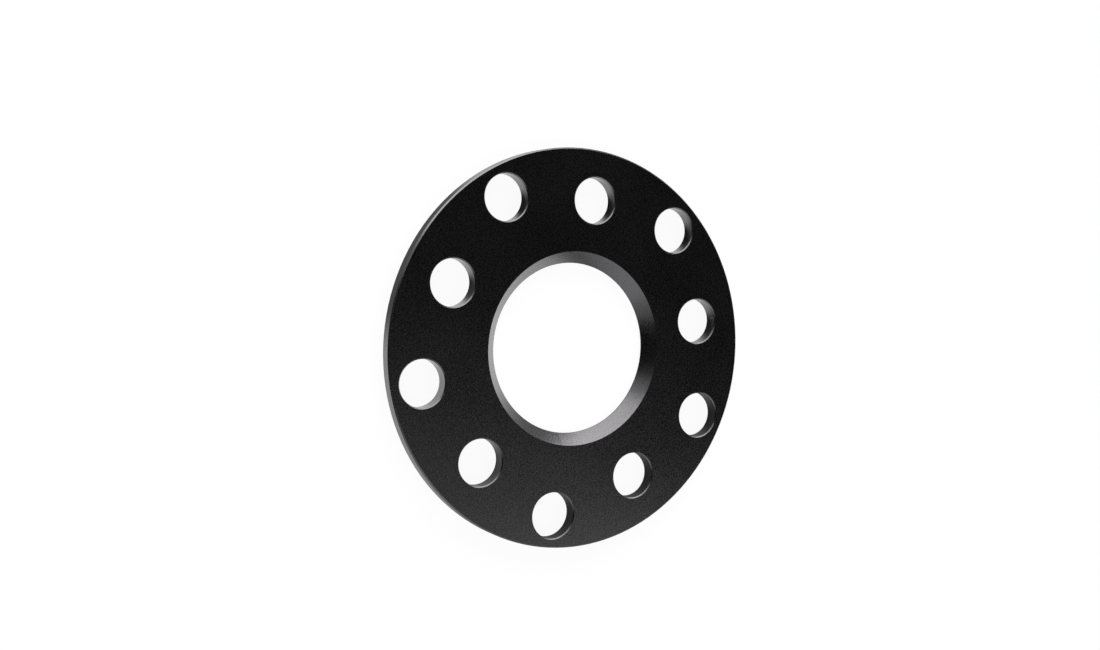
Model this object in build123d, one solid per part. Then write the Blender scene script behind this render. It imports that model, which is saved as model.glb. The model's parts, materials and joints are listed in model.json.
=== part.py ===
from build123d import *
from math import isclose
import os

# Flat wheel spacer: one turned and drilled disc with two interleaved rings of bolt holes.
# The origin is at the bore's centre on the hub face. +Z points to the wheel face, and one
# hole of the wide bolt circle lies on +X. All sizes are in millimetres.

# Driving dimensions of the plate
plate_thickness = 5.0
rim_wall = 3.05
rim_front_chamfer = 0.45
rim_back_chamfer = 0.9

# Driving dimensions of the bolt holes
wide_bolt_circle = 112.0
narrow_bolt_circle = 100.0
bolts_per_circle = 5
bolt_hole_diameter = 15.5
bolt_hole_chamfer = 0.35

# Driving dimensions of the hub bore
hub_diameter = 57.1
hub_clearance = 0.2
bore_back_chamfer = 0.6
bore_land_height = 0.3
bore_flare_width = 3.8

# Sizes that follow from them
bolt_hole_radius = bolt_hole_diameter / 2
rim_radius = wide_bolt_circle / 2 + bolt_hole_radius + rim_wall
bore_radius = (hub_diameter + hub_clearance) / 2
bore_land_top = bore_back_chamfer + bore_land_height
bore_mouth_radius = bore_radius + bore_flare_width
degrees_between_bolts = 360 / bolts_per_circle


def turned_plate():
    """The disc before drilling: its section, spun about the bore's axis."""
    section = Polyline(
        (bore_radius + bore_back_chamfer, 0),
        (rim_radius - rim_back_chamfer, 0),
        (rim_radius, rim_back_chamfer),
        (rim_radius, plate_thickness - rim_front_chamfer),
        (rim_radius - rim_front_chamfer, plate_thickness),
        (bore_mouth_radius, plate_thickness),
        (bore_radius, bore_land_top),
        (bore_radius, bore_back_chamfer),
        close=True,
    )
    return revolve(Plane.XZ * make_face(section), Axis.Z)


def bolt_circle(diameter, first_angle):
    """The places of the holes on one bolt circle, the first at the given angle from +X."""
    return PolarLocations(diameter / 2, bolts_per_circle, start_angle=first_angle)


def drilled(plate):
    """The plate with both rings of holes, one ring turned half a step from the other."""
    drill = Cylinder(
        bolt_hole_radius, plate_thickness, align=(Align.CENTER, Align.CENTER, Align.MIN)
    )
    wide_ring = bolt_circle(wide_bolt_circle, 0)
    narrow_ring = bolt_circle(narrow_bolt_circle, degrees_between_bolts / 2)
    return plate - [place * drill for place in [*wide_ring, *narrow_ring]]


def is_bolt_hole_edge(edge):
    return edge.geom_type == GeomType.CIRCLE and isclose(edge.radius, bolt_hole_radius)


def wheel_spacer():
    """The whole spacer, with the mouths of its bolt holes chamfered on both faces."""
    plate = drilled(turned_plate())
    mouths = plate.edges().filter_by(is_bolt_hole_edge)
    return chamfer(mouths, bolt_hole_chamfer)


os.makedirs("parts", exist_ok=True)
export_step(wheel_spacer(), "parts/wheel_spacer.step")
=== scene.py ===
import json
import math
from collections import namedtuple

import bpy
from mathutils import Matrix, Vector


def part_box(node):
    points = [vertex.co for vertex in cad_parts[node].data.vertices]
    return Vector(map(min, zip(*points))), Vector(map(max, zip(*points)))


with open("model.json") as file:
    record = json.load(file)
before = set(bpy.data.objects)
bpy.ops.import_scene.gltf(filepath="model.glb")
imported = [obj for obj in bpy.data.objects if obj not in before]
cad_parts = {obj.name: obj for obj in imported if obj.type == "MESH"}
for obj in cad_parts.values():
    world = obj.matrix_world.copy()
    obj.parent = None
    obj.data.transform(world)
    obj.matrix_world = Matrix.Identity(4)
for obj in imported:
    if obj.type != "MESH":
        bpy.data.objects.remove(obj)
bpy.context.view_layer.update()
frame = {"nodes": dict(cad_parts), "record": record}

MM = 0.001

# The camera, in the spacer's frame
FOCAL_LENGTH = 40.84
SENSOR_WIDTH = 36.0
CAMERA_AIM = Vector((-6.63, -10.90, 5.0)) * MM
CAMERA_DISTANCE = 411.2 * MM
CAMERA_AZIMUTH = math.radians(2.43)
CAMERA_ELEVATION = math.radians(60.88)
CAMERA_ROLL = math.radians(95.52)
CAMERA_SEES_FROM = 1 * MM
CAMERA_SEES_TO = 100.0

# The floor
FLOOR_SIZE = 6.0
FLOOR_SHADE = 0.9
FLOOR_GLOW = 0.92
FLOOR_SHADOW_SHADE = 0.16

# Painted reflection: for the metal's reflections the floor's glow and colour are painted,
# lightest on the -Y side and darker towards +Y
PAINTED_REFLECTION_LEAST = 0.22
PAINTED_REFLECTION_MOST = 0.88
GLOW_FADES_TOWARDS = (0.17, 0.985, 0.0)
GLOW_FULL_TO = -87 * MM
GLOW_GONE_AT = 15 * MM

# Soft round painted patches of glow and shade in the floor's reflection, at full strength out to
# one radius and gone at another, in mm
Patch = namedtuple("Patch", "x y full_to gone_at strength")
# A painted glow in the floor's reflection under the bore
PAINTED_GLOW_UNDER_BORE = Patch(-6, -15, 16, 31, 0.8)
# Painted shade: a dark patch that darkens the floor's reflection beside the rim
PAINTED_DARK_PATCH = Patch(-24, -60, 20, 35, 0.75)

# Round each bolt hole's axis the floor's reflection has a painted shadow, out to these radii in mm.
# It grows a little lighter from one X to another, in mm too, and a wide patch of painted glow
# lightens it at -Y.
HOLE_PAINTED_SHADE_FULL_TO = 9
HOLE_PAINTED_SHADE_GONE_AT = 10
HOLE_PAINTED_SHADE_LEAST = 0.04
HOLE_PAINTED_SHADE_MOST = 0.11
HOLE_PAINTED_SHADE_LEAST_TO = -40
HOLE_PAINTED_SHADE_MOST_FROM = 30
HOLES_SIDE_GLOW = Patch(24, -58, 12, 48, 0.9)

# Each hole also has two painted bright patches in the floor's reflection, placed from its centre:
# one towards -X, one towards +X.
HOLE_GLOWS = (Patch(-6.5, 2.5, 4, 7, 1.0), Patch(6, 2, 3, 6, 0.9))

# They are dimmer hole by hole along a direction, an angle from +X, from one place to another in mm
HOLES_DIM_TOWARDS = math.radians(14)
HOLES_BRIGHT_TO = -20
HOLES_DIM_FROM = 42
HOLES_DIM_SHARE = 0.08

# The finish of the spacer
lowest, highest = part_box("wheel_spacer")
THICKNESS = highest[2] - lowest[2]
FACE_SKIN = 0.01 * MM
BLACK_DYE = (0.0029, 0.0026, 0.0030)
OXIDE_IOR = 2.03
OXIDE_TINT = (0.99, 0.965, 1.0, 1)
SATIN = 0.27
SATIN_RANGE = 0.015
GRAIN_SIZE = 0.49 * MM
GRAIN_TILT = 0.07
GRAIN_TILT_DETAIL = 1.0
GRAIN_SATIN = 0.1
GRAIN_CONTRAST = 0.6
GRAIN_SPREAD = 0.12
CLOUD_SIZE = 25 * MM
CLOUD_CONTRAST = 0.08
CLOUD_SPREAD = 0.2
PATCHES_DETAIL = 3.0
MARK_PITCH = 0.12 * MM
MARK_DEPTH = 0.002 * MM
MARK_DETAIL = 2.0
EDGE_ROUNDING = 0.06 * MM
EDGE_SAMPLES = 4
NOISE_MIDDLE = 0.5

# The world's white band, in elevation above the horizon
HORIZON_WHITE_TO = math.radians(4.0)
HORIZON_GONE_AT = math.radians(8.0)

# The lamps are curved walls of softboxes, from one azimuth and elevation to another, in degrees.
# Azimuth runs from +X towards +Y. A brightness of 1 is that of a white wall.
Wall = namedtuple("Wall", "name start end low high brightness")
WALLS = (
    Wall("key_low", 143, 230, 0, 26, 3.65),
    Wall("key_high", 143, 230, 26, 40, 1.9),
    Wall("key_left_edge", 126, 143, 0, 40, 1.35),
    Wall("key_right_edge", 230, 250, 0, 40, 0.7),
    Wall("side", 330, 430, 8, 56, 1.15),
    Wall("side_edge", 310, 330, 8, 56, 0.62),
    Wall("top", 250, 430, 56, 74, 0.32),
)
WALL_DISTANCE = 1.1
PANEL_WIDEST = 20
PANEL_TALLEST = 24


def add_camera():
    """Looks down on the wheel face from -Y, rolled so that the disc seems to stand."""
    back = Vector((
        math.sin(CAMERA_AZIMUTH) * math.cos(CAMERA_ELEVATION),
        -math.cos(CAMERA_AZIMUTH) * math.cos(CAMERA_ELEVATION),
        math.sin(CAMERA_ELEVATION),
    ))
    data = bpy.data.cameras.new("camera")
    data.sensor_width = SENSOR_WIDTH
    data.lens = FOCAL_LENGTH
    data.clip_start = CAMERA_SEES_FROM
    data.clip_end = CAMERA_SEES_TO
    camera = bpy.data.objects.new("camera", data)
    level = (-back).to_track_quat("-Z", "Y").to_matrix().to_4x4()
    roll = Matrix.Rotation(CAMERA_ROLL, 4, "Z")
    camera.matrix_world = Matrix.Translation(CAMERA_AIM + back * CAMERA_DISTANCE) @ level @ roll
    bpy.context.scene.collection.objects.link(camera)
    bpy.context.scene.camera = camera


def new_material(name):
    material = bpy.data.materials.new(name)
    material.use_nodes = True
    material.node_tree.nodes.clear()
    return material, material.node_tree


def add_node(tree, kind, inputs=(), **settings):
    """A new node with its settings made, and each input named in inputs linked or set."""
    node = tree.nodes.new(kind)
    for name, value in settings.items():
        setattr(node, name, value)
    for name, value in dict(inputs).items():
        if isinstance(value, bpy.types.NodeSocket):
            tree.links.new(value, node.inputs[name])
        else:
            node.inputs[name].default_value = value
    return node


def calculate(tree, operation, *values):
    """What an operation makes of numbers."""
    return add_node(tree, "ShaderNodeMath", enumerate(values), operation=operation).outputs[0]


def combine(tree, operation, *vectors):
    """The vector that an operation makes of vectors."""
    node = add_node(tree, "ShaderNodeVectorMath", enumerate(vectors), operation=operation)
    return node.outputs["Vector"]


def measure(tree, operation, *vectors):
    """The number that an operation makes of vectors."""
    node = add_node(tree, "ShaderNodeVectorMath", enumerate(vectors), operation=operation)
    return node.outputs["Value"]


def scaled(tree, vector, factor):
    """The vector times a number."""
    inputs = {0: vector, "Scale": factor}
    return add_node(tree, "ShaderNodeVectorMath", inputs, operation="SCALE").outputs["Vector"]


def fade(tree, value, start, end, first=1.0, last=0.0):
    """First where the value is up to start, then softly on to last where it is end or more."""
    return add_node(tree, "ShaderNodeMapRange", {
        "Value": value,
        "From Min": start,
        "From Max": end,
        "To Min": first,
        "To Max": last,
    }, interpolation_type="SMOOTHSTEP").outputs[0]


def darkened(tree, shade, share):
    """The shade with the given share of it taken away."""
    return calculate(tree, "MULTIPLY", shade, calculate(tree, "SUBTRACT", 1.0, share))


def grey(level):
    return (level, level, level, 1)


def looked_at(tree, path):
    """1 where the camera looks, straight or through glass."""
    straight = path.outputs["Is Camera Ray"]
    through_glass = path.outputs["Is Transmission Ray"]
    return calculate(tree, "MAXIMUM", straight, through_glass)


def patches_at(tree, place, patches):
    """The strengths of soft round patches at a place, added up."""
    total = 0.0
    for patch in patches:
        distance = measure(tree, "DISTANCE", place, (patch.x * MM, patch.y * MM, 0))
        strength = fade(tree, distance, patch.full_to * MM, patch.gone_at * MM, patch.strength)
        total = calculate(tree, "ADD", total, strength)
    return total


def hole_centres():
    """The X and Y of each bolt hole's centre in mm, from the openings that the record states."""
    for opening in frame["record"]["physics"]["openings"]:
        low, high = opening["box_m"]
        yield (low[0] + high[0]) / 2 / MM, (low[1] + high[1]) / 2 / MM


def hole_brightness(x, y):
    """How bright the painted patches under a hole are: 1 towards -X, less and less towards +X."""
    along = x * math.cos(HOLES_DIM_TOWARDS) + y * math.sin(HOLES_DIM_TOWARDS)
    share = (along - HOLES_BRIGHT_TO) / (HOLES_DIM_FROM - HOLES_BRIGHT_TO)
    share = min(max(share, 0), 1)
    return 1 - (1 - HOLES_DIM_SHARE) * share * share * (3 - 2 * share)


def painted_hole_shade_circles():
    """The circles under the holes in which the floor's reflection takes the painted hole shadow."""
    for x, y in hole_centres():
        yield Patch(x, y, HOLE_PAINTED_SHADE_FULL_TO, HOLE_PAINTED_SHADE_GONE_AT, 1.0)


def hole_glows():
    """The two painted bright patches under each hole."""
    for x, y in hole_centres():
        for glow in HOLE_GLOWS:
            strength = glow.strength * hole_brightness(x, y)
            yield Patch(x + glow.x, y + glow.y, glow.full_to, glow.gone_at, strength)


def painted_shade_in_holes(tree, place):
    """The painted shadow under the holes, lightest towards +X and -Y."""
    x = measure(tree, "DOT_PRODUCT", place, (1, 0, 0))
    least_to = HOLE_PAINTED_SHADE_LEAST_TO * MM
    most_from = HOLE_PAINTED_SHADE_MOST_FROM * MM
    shade = fade(tree, x, least_to, most_from, HOLE_PAINTED_SHADE_LEAST, HOLE_PAINTED_SHADE_MOST)
    return calculate(tree, "ADD", shade, patches_at(tree, place, [HOLES_SIDE_GLOW]))


def painted_reflection_shade(tree):
    """The painted glow and shade of the floor in the metal's reflections, place by place, where 1
    is white.
    """
    place = add_node(tree, "ShaderNodeTexCoord").outputs["Object"]
    depth = measure(tree, "DOT_PRODUCT", place, GLOW_FADES_TOWARDS)
    shade = fade(tree, depth, GLOW_FULL_TO, GLOW_GONE_AT, PAINTED_REFLECTION_MOST, PAINTED_REFLECTION_LEAST)
    # Painted shade beside the rim and under the holes, painted glow under the bore and the holes
    shade = darkened(tree, shade, patches_at(tree, place, [PAINTED_DARK_PATCH]))
    shade = calculate(tree, "ADD", shade, patches_at(tree, place, [PAINTED_GLOW_UNDER_BORE]))
    in_hole = patches_at(tree, place, painted_hole_shade_circles())
    shade_there = calculate(tree, "MULTIPLY", painted_shade_in_holes(tree, place), in_hole)
    shade = calculate(tree, "ADD", darkened(tree, shade, in_hole), shade_there)
    shade = calculate(tree, "ADD", shade, patches_at(tree, place, hole_glows()))
    return calculate(tree, "MINIMUM", shade, 1.0)


def floor_material():
    """White as it is seen, but for the object's soft shadow, with painted glow and shade in
    reflections.
    """
    material, tree = new_material("floor")
    path = add_node(tree, "ShaderNodeLightPath")
    shade = painted_reflection_shade(tree)
    # The floor's colour is painted with this pattern, and it glows for glossy rays only: a painted
    # reflection
    painted_colour = scaled(tree, (FLOOR_SHADE,) * 3, shade)
    painted_diffuse = add_node(tree, "ShaderNodeBsdfDiffuse", {"Color": painted_colour}).outputs[0]
    strength = calculate(tree, "MULTIPLY", shade, path.outputs["Is Glossy Ray"])
    glow = add_node(tree, "ShaderNodeEmission", {"Strength": strength}).outputs[0]
    lit_and_painted = add_node(tree, "ShaderNodeAddShader", {0: painted_diffuse, 1: glow}).outputs[0]
    white = add_node(tree, "ShaderNodeEmission", {"Strength": FLOOR_GLOW}).outputs[0]
    shadow = add_node(tree, "ShaderNodeBsdfDiffuse", {"Color": grey(FLOOR_SHADOW_SHADE)}).outputs[0]
    seen = add_node(tree, "ShaderNodeAddShader", {0: white, 1: shadow}).outputs[0]
    inputs = {0: looked_at(tree, path), 1: lit_and_painted, 2: seen}
    surface = add_node(tree, "ShaderNodeMixShader", inputs).outputs[0]
    add_node(tree, "ShaderNodeOutputMaterial", {"Surface": surface})
    return material


def add_floor():
    mesh = bpy.data.meshes.new("floor")
    half = FLOOR_SIZE / 2
    corners = [(-half, -half, 0), (half, -half, 0), (half, half, 0), (-half, half, 0)]
    mesh.from_pydata(corners, [], [(0, 1, 2, 3)])
    floor = bpy.data.objects.new("floor", mesh)
    floor.data.materials.append(floor_material())
    bpy.context.scene.collection.objects.link(floor)


def noise(tree, place, size, detail):
    """Noise whose patches are about the given size."""
    inputs = {"Vector": place, "Scale": 1 / size, "Detail": detail}
    return add_node(tree, "ShaderNodeTexNoise", inputs)


def blasted_normal(tree, place, smooth):
    """The surface's own direction, tilted a little at random from one blasted grain to the next."""
    grains = noise(tree, place, GRAIN_SIZE, GRAIN_TILT_DETAIL).outputs["Color"]
    tilt = combine(tree, "SUBTRACT", grains, (NOISE_MIDDLE,) * 3)
    tilted = combine(tree, "ADD", smooth, scaled(tree, tilt, GRAIN_TILT))
    return combine(tree, "NORMALIZE", tilted)


def with_tool_marks(tree, height, normal):
    """Fine rings left by the tool on the rim, the bore and the holes, none on the two faces."""
    inputs = {"W": height, "Scale": 1 / MARK_PITCH, "Detail": MARK_DETAIL}
    rings = add_node(tree, "ShaderNodeTexNoise", inputs, noise_dimensions="1D").outputs[0]
    above = calculate(tree, "GREATER_THAN", height, FACE_SKIN)
    below = calculate(tree, "LESS_THAN", height, THICKNESS - FACE_SKIN)
    cut = calculate(tree, "MULTIPLY", above, below)
    depth = calculate(tree, "MULTIPLY", rings, cut)
    inputs = {"Height": depth, "Distance": MARK_DEPTH, "Normal": normal}
    return add_node(tree, "ShaderNodeBump", inputs).outputs[0]


def varied(tree, place, size, spread, low, high):
    """A value that wanders between low and high, as the noise strays a spread from its middle."""
    return add_node(tree, "ShaderNodeMapRange", {
        "Value": noise(tree, place, size, PATCHES_DETAIL).outputs[0],
        "From Min": NOISE_MIDDLE - spread,
        "From Max": NOISE_MIDDLE + spread,
        "To Min": low,
        "To Max": high,
    }).outputs[0]


def mottled(tree, place, middle, grain, cloud):
    """The middle value, varied by a share from grain to grain and by one from cloud to cloud."""
    low = middle * (1 - cloud)
    high = middle * (1 + cloud)
    clouds = varied(tree, place, CLOUD_SIZE, CLOUD_SPREAD, low, high)
    grains = varied(tree, place, GRAIN_SIZE, GRAIN_SPREAD, 1 - grain, 1 + grain)
    return calculate(tree, "MULTIPLY", grains, clouds)


def spacer_material():
    """Black anodised aluminium, blasted to a fine satin grain."""
    material, tree = new_material("black_anodised")
    place = add_node(tree, "ShaderNodeTexCoord").outputs["Object"]
    height = add_node(tree, "ShaderNodeSeparateXYZ", {0: place}).outputs["Z"]
    rounded = add_node(tree, "ShaderNodeBevel", {"Radius": EDGE_ROUNDING}, samples=EDGE_SAMPLES)
    blasted = blasted_normal(tree, place, rounded.outputs[0])
    dye = mottled(tree, place, 1, GRAIN_CONTRAST, CLOUD_CONTRAST)
    shader = add_node(tree, "ShaderNodeBsdfPrincipled", {
        "Base Color": scaled(tree, BLACK_DYE, dye),
        "Roughness": mottled(tree, place, SATIN, GRAIN_SATIN, SATIN_RANGE / SATIN),
        "IOR": OXIDE_IOR,
        "Specular Tint": OXIDE_TINT,
        "Normal": with_tool_marks(tree, height, blasted),
    })
    add_node(tree, "ShaderNodeOutputMaterial", {"Surface": shader.outputs[0]})
    return material


def add_panel(name, azimuth, elevation, span, rise, brightness):
    """One flat softbox of a wall, which faces the spacer. The angles are in radians."""
    away = Vector((
        math.cos(azimuth) * math.cos(elevation),
        math.sin(azimuth) * math.cos(elevation),
        math.sin(elevation),
    ))
    data = bpy.data.lights.new(name, "AREA")
    data.shape = "RECTANGLE"
    data.size = 2 * WALL_DISTANCE * math.tan(span / 2) * math.cos(elevation)
    data.size_y = 2 * WALL_DISTANCE * math.tan(rise / 2)
    data.energy = math.pi * data.size * data.size_y * brightness
    lamp = bpy.data.objects.new(name, data)
    lamp.location = away * WALL_DISTANCE
    lamp.rotation_mode = "QUATERNION"
    lamp.rotation_quaternion = away.to_track_quat("Z", "Y")
    lamp.visible_camera = False
    bpy.context.scene.collection.objects.link(lamp)


def add_wall(wall):
    """A curved wall of flat panels, in as many columns and rows as its angles need."""
    columns = math.ceil((wall.end - wall.start) / PANEL_WIDEST)
    rows = math.ceil((wall.high - wall.low) / PANEL_TALLEST)
    span = math.radians(wall.end - wall.start) / columns
    rise = math.radians(wall.high - wall.low) / rows
    for column in range(columns):
        azimuth = math.radians(wall.start) + (column + 0.5) * span
        for row in range(rows):
            elevation = math.radians(wall.low) + (row + 0.5) * rise
            add_panel(wall.name, azimuth, elevation, span, rise, wall.brightness)


def add_world():
    """White behind everything that the camera sees, and a low white band round the dim studio."""
    world = bpy.data.worlds.new("world")
    world.use_nodes = True
    tree = world.node_tree
    tree.nodes.clear()
    direction = add_node(tree, "ShaderNodeTexCoord").outputs["Generated"]
    height = add_node(tree, "ShaderNodeSeparateXYZ", {0: direction}).outputs["Z"]
    band = fade(tree, height, math.sin(HORIZON_WHITE_TO), math.sin(HORIZON_GONE_AT))
    path = add_node(tree, "ShaderNodeLightPath")
    strength = calculate(tree, "MAXIMUM", looked_at(tree, path), band)
    inputs = {"Color": grey(1), "Strength": strength}
    background = add_node(tree, "ShaderNodeBackground", inputs).outputs[0]
    add_node(tree, "ShaderNodeOutputWorld", {"Surface": background})
    bpy.context.scene.world = world


add_camera()
add_floor()
for wall in WALLS:
    add_wall(wall)
add_world()
spacer = frame["nodes"]["wheel_spacer"]
spacer.material_slots[0].material = spacer_material()
bpy.context.scene.view_settings.view_transform = "Standard"
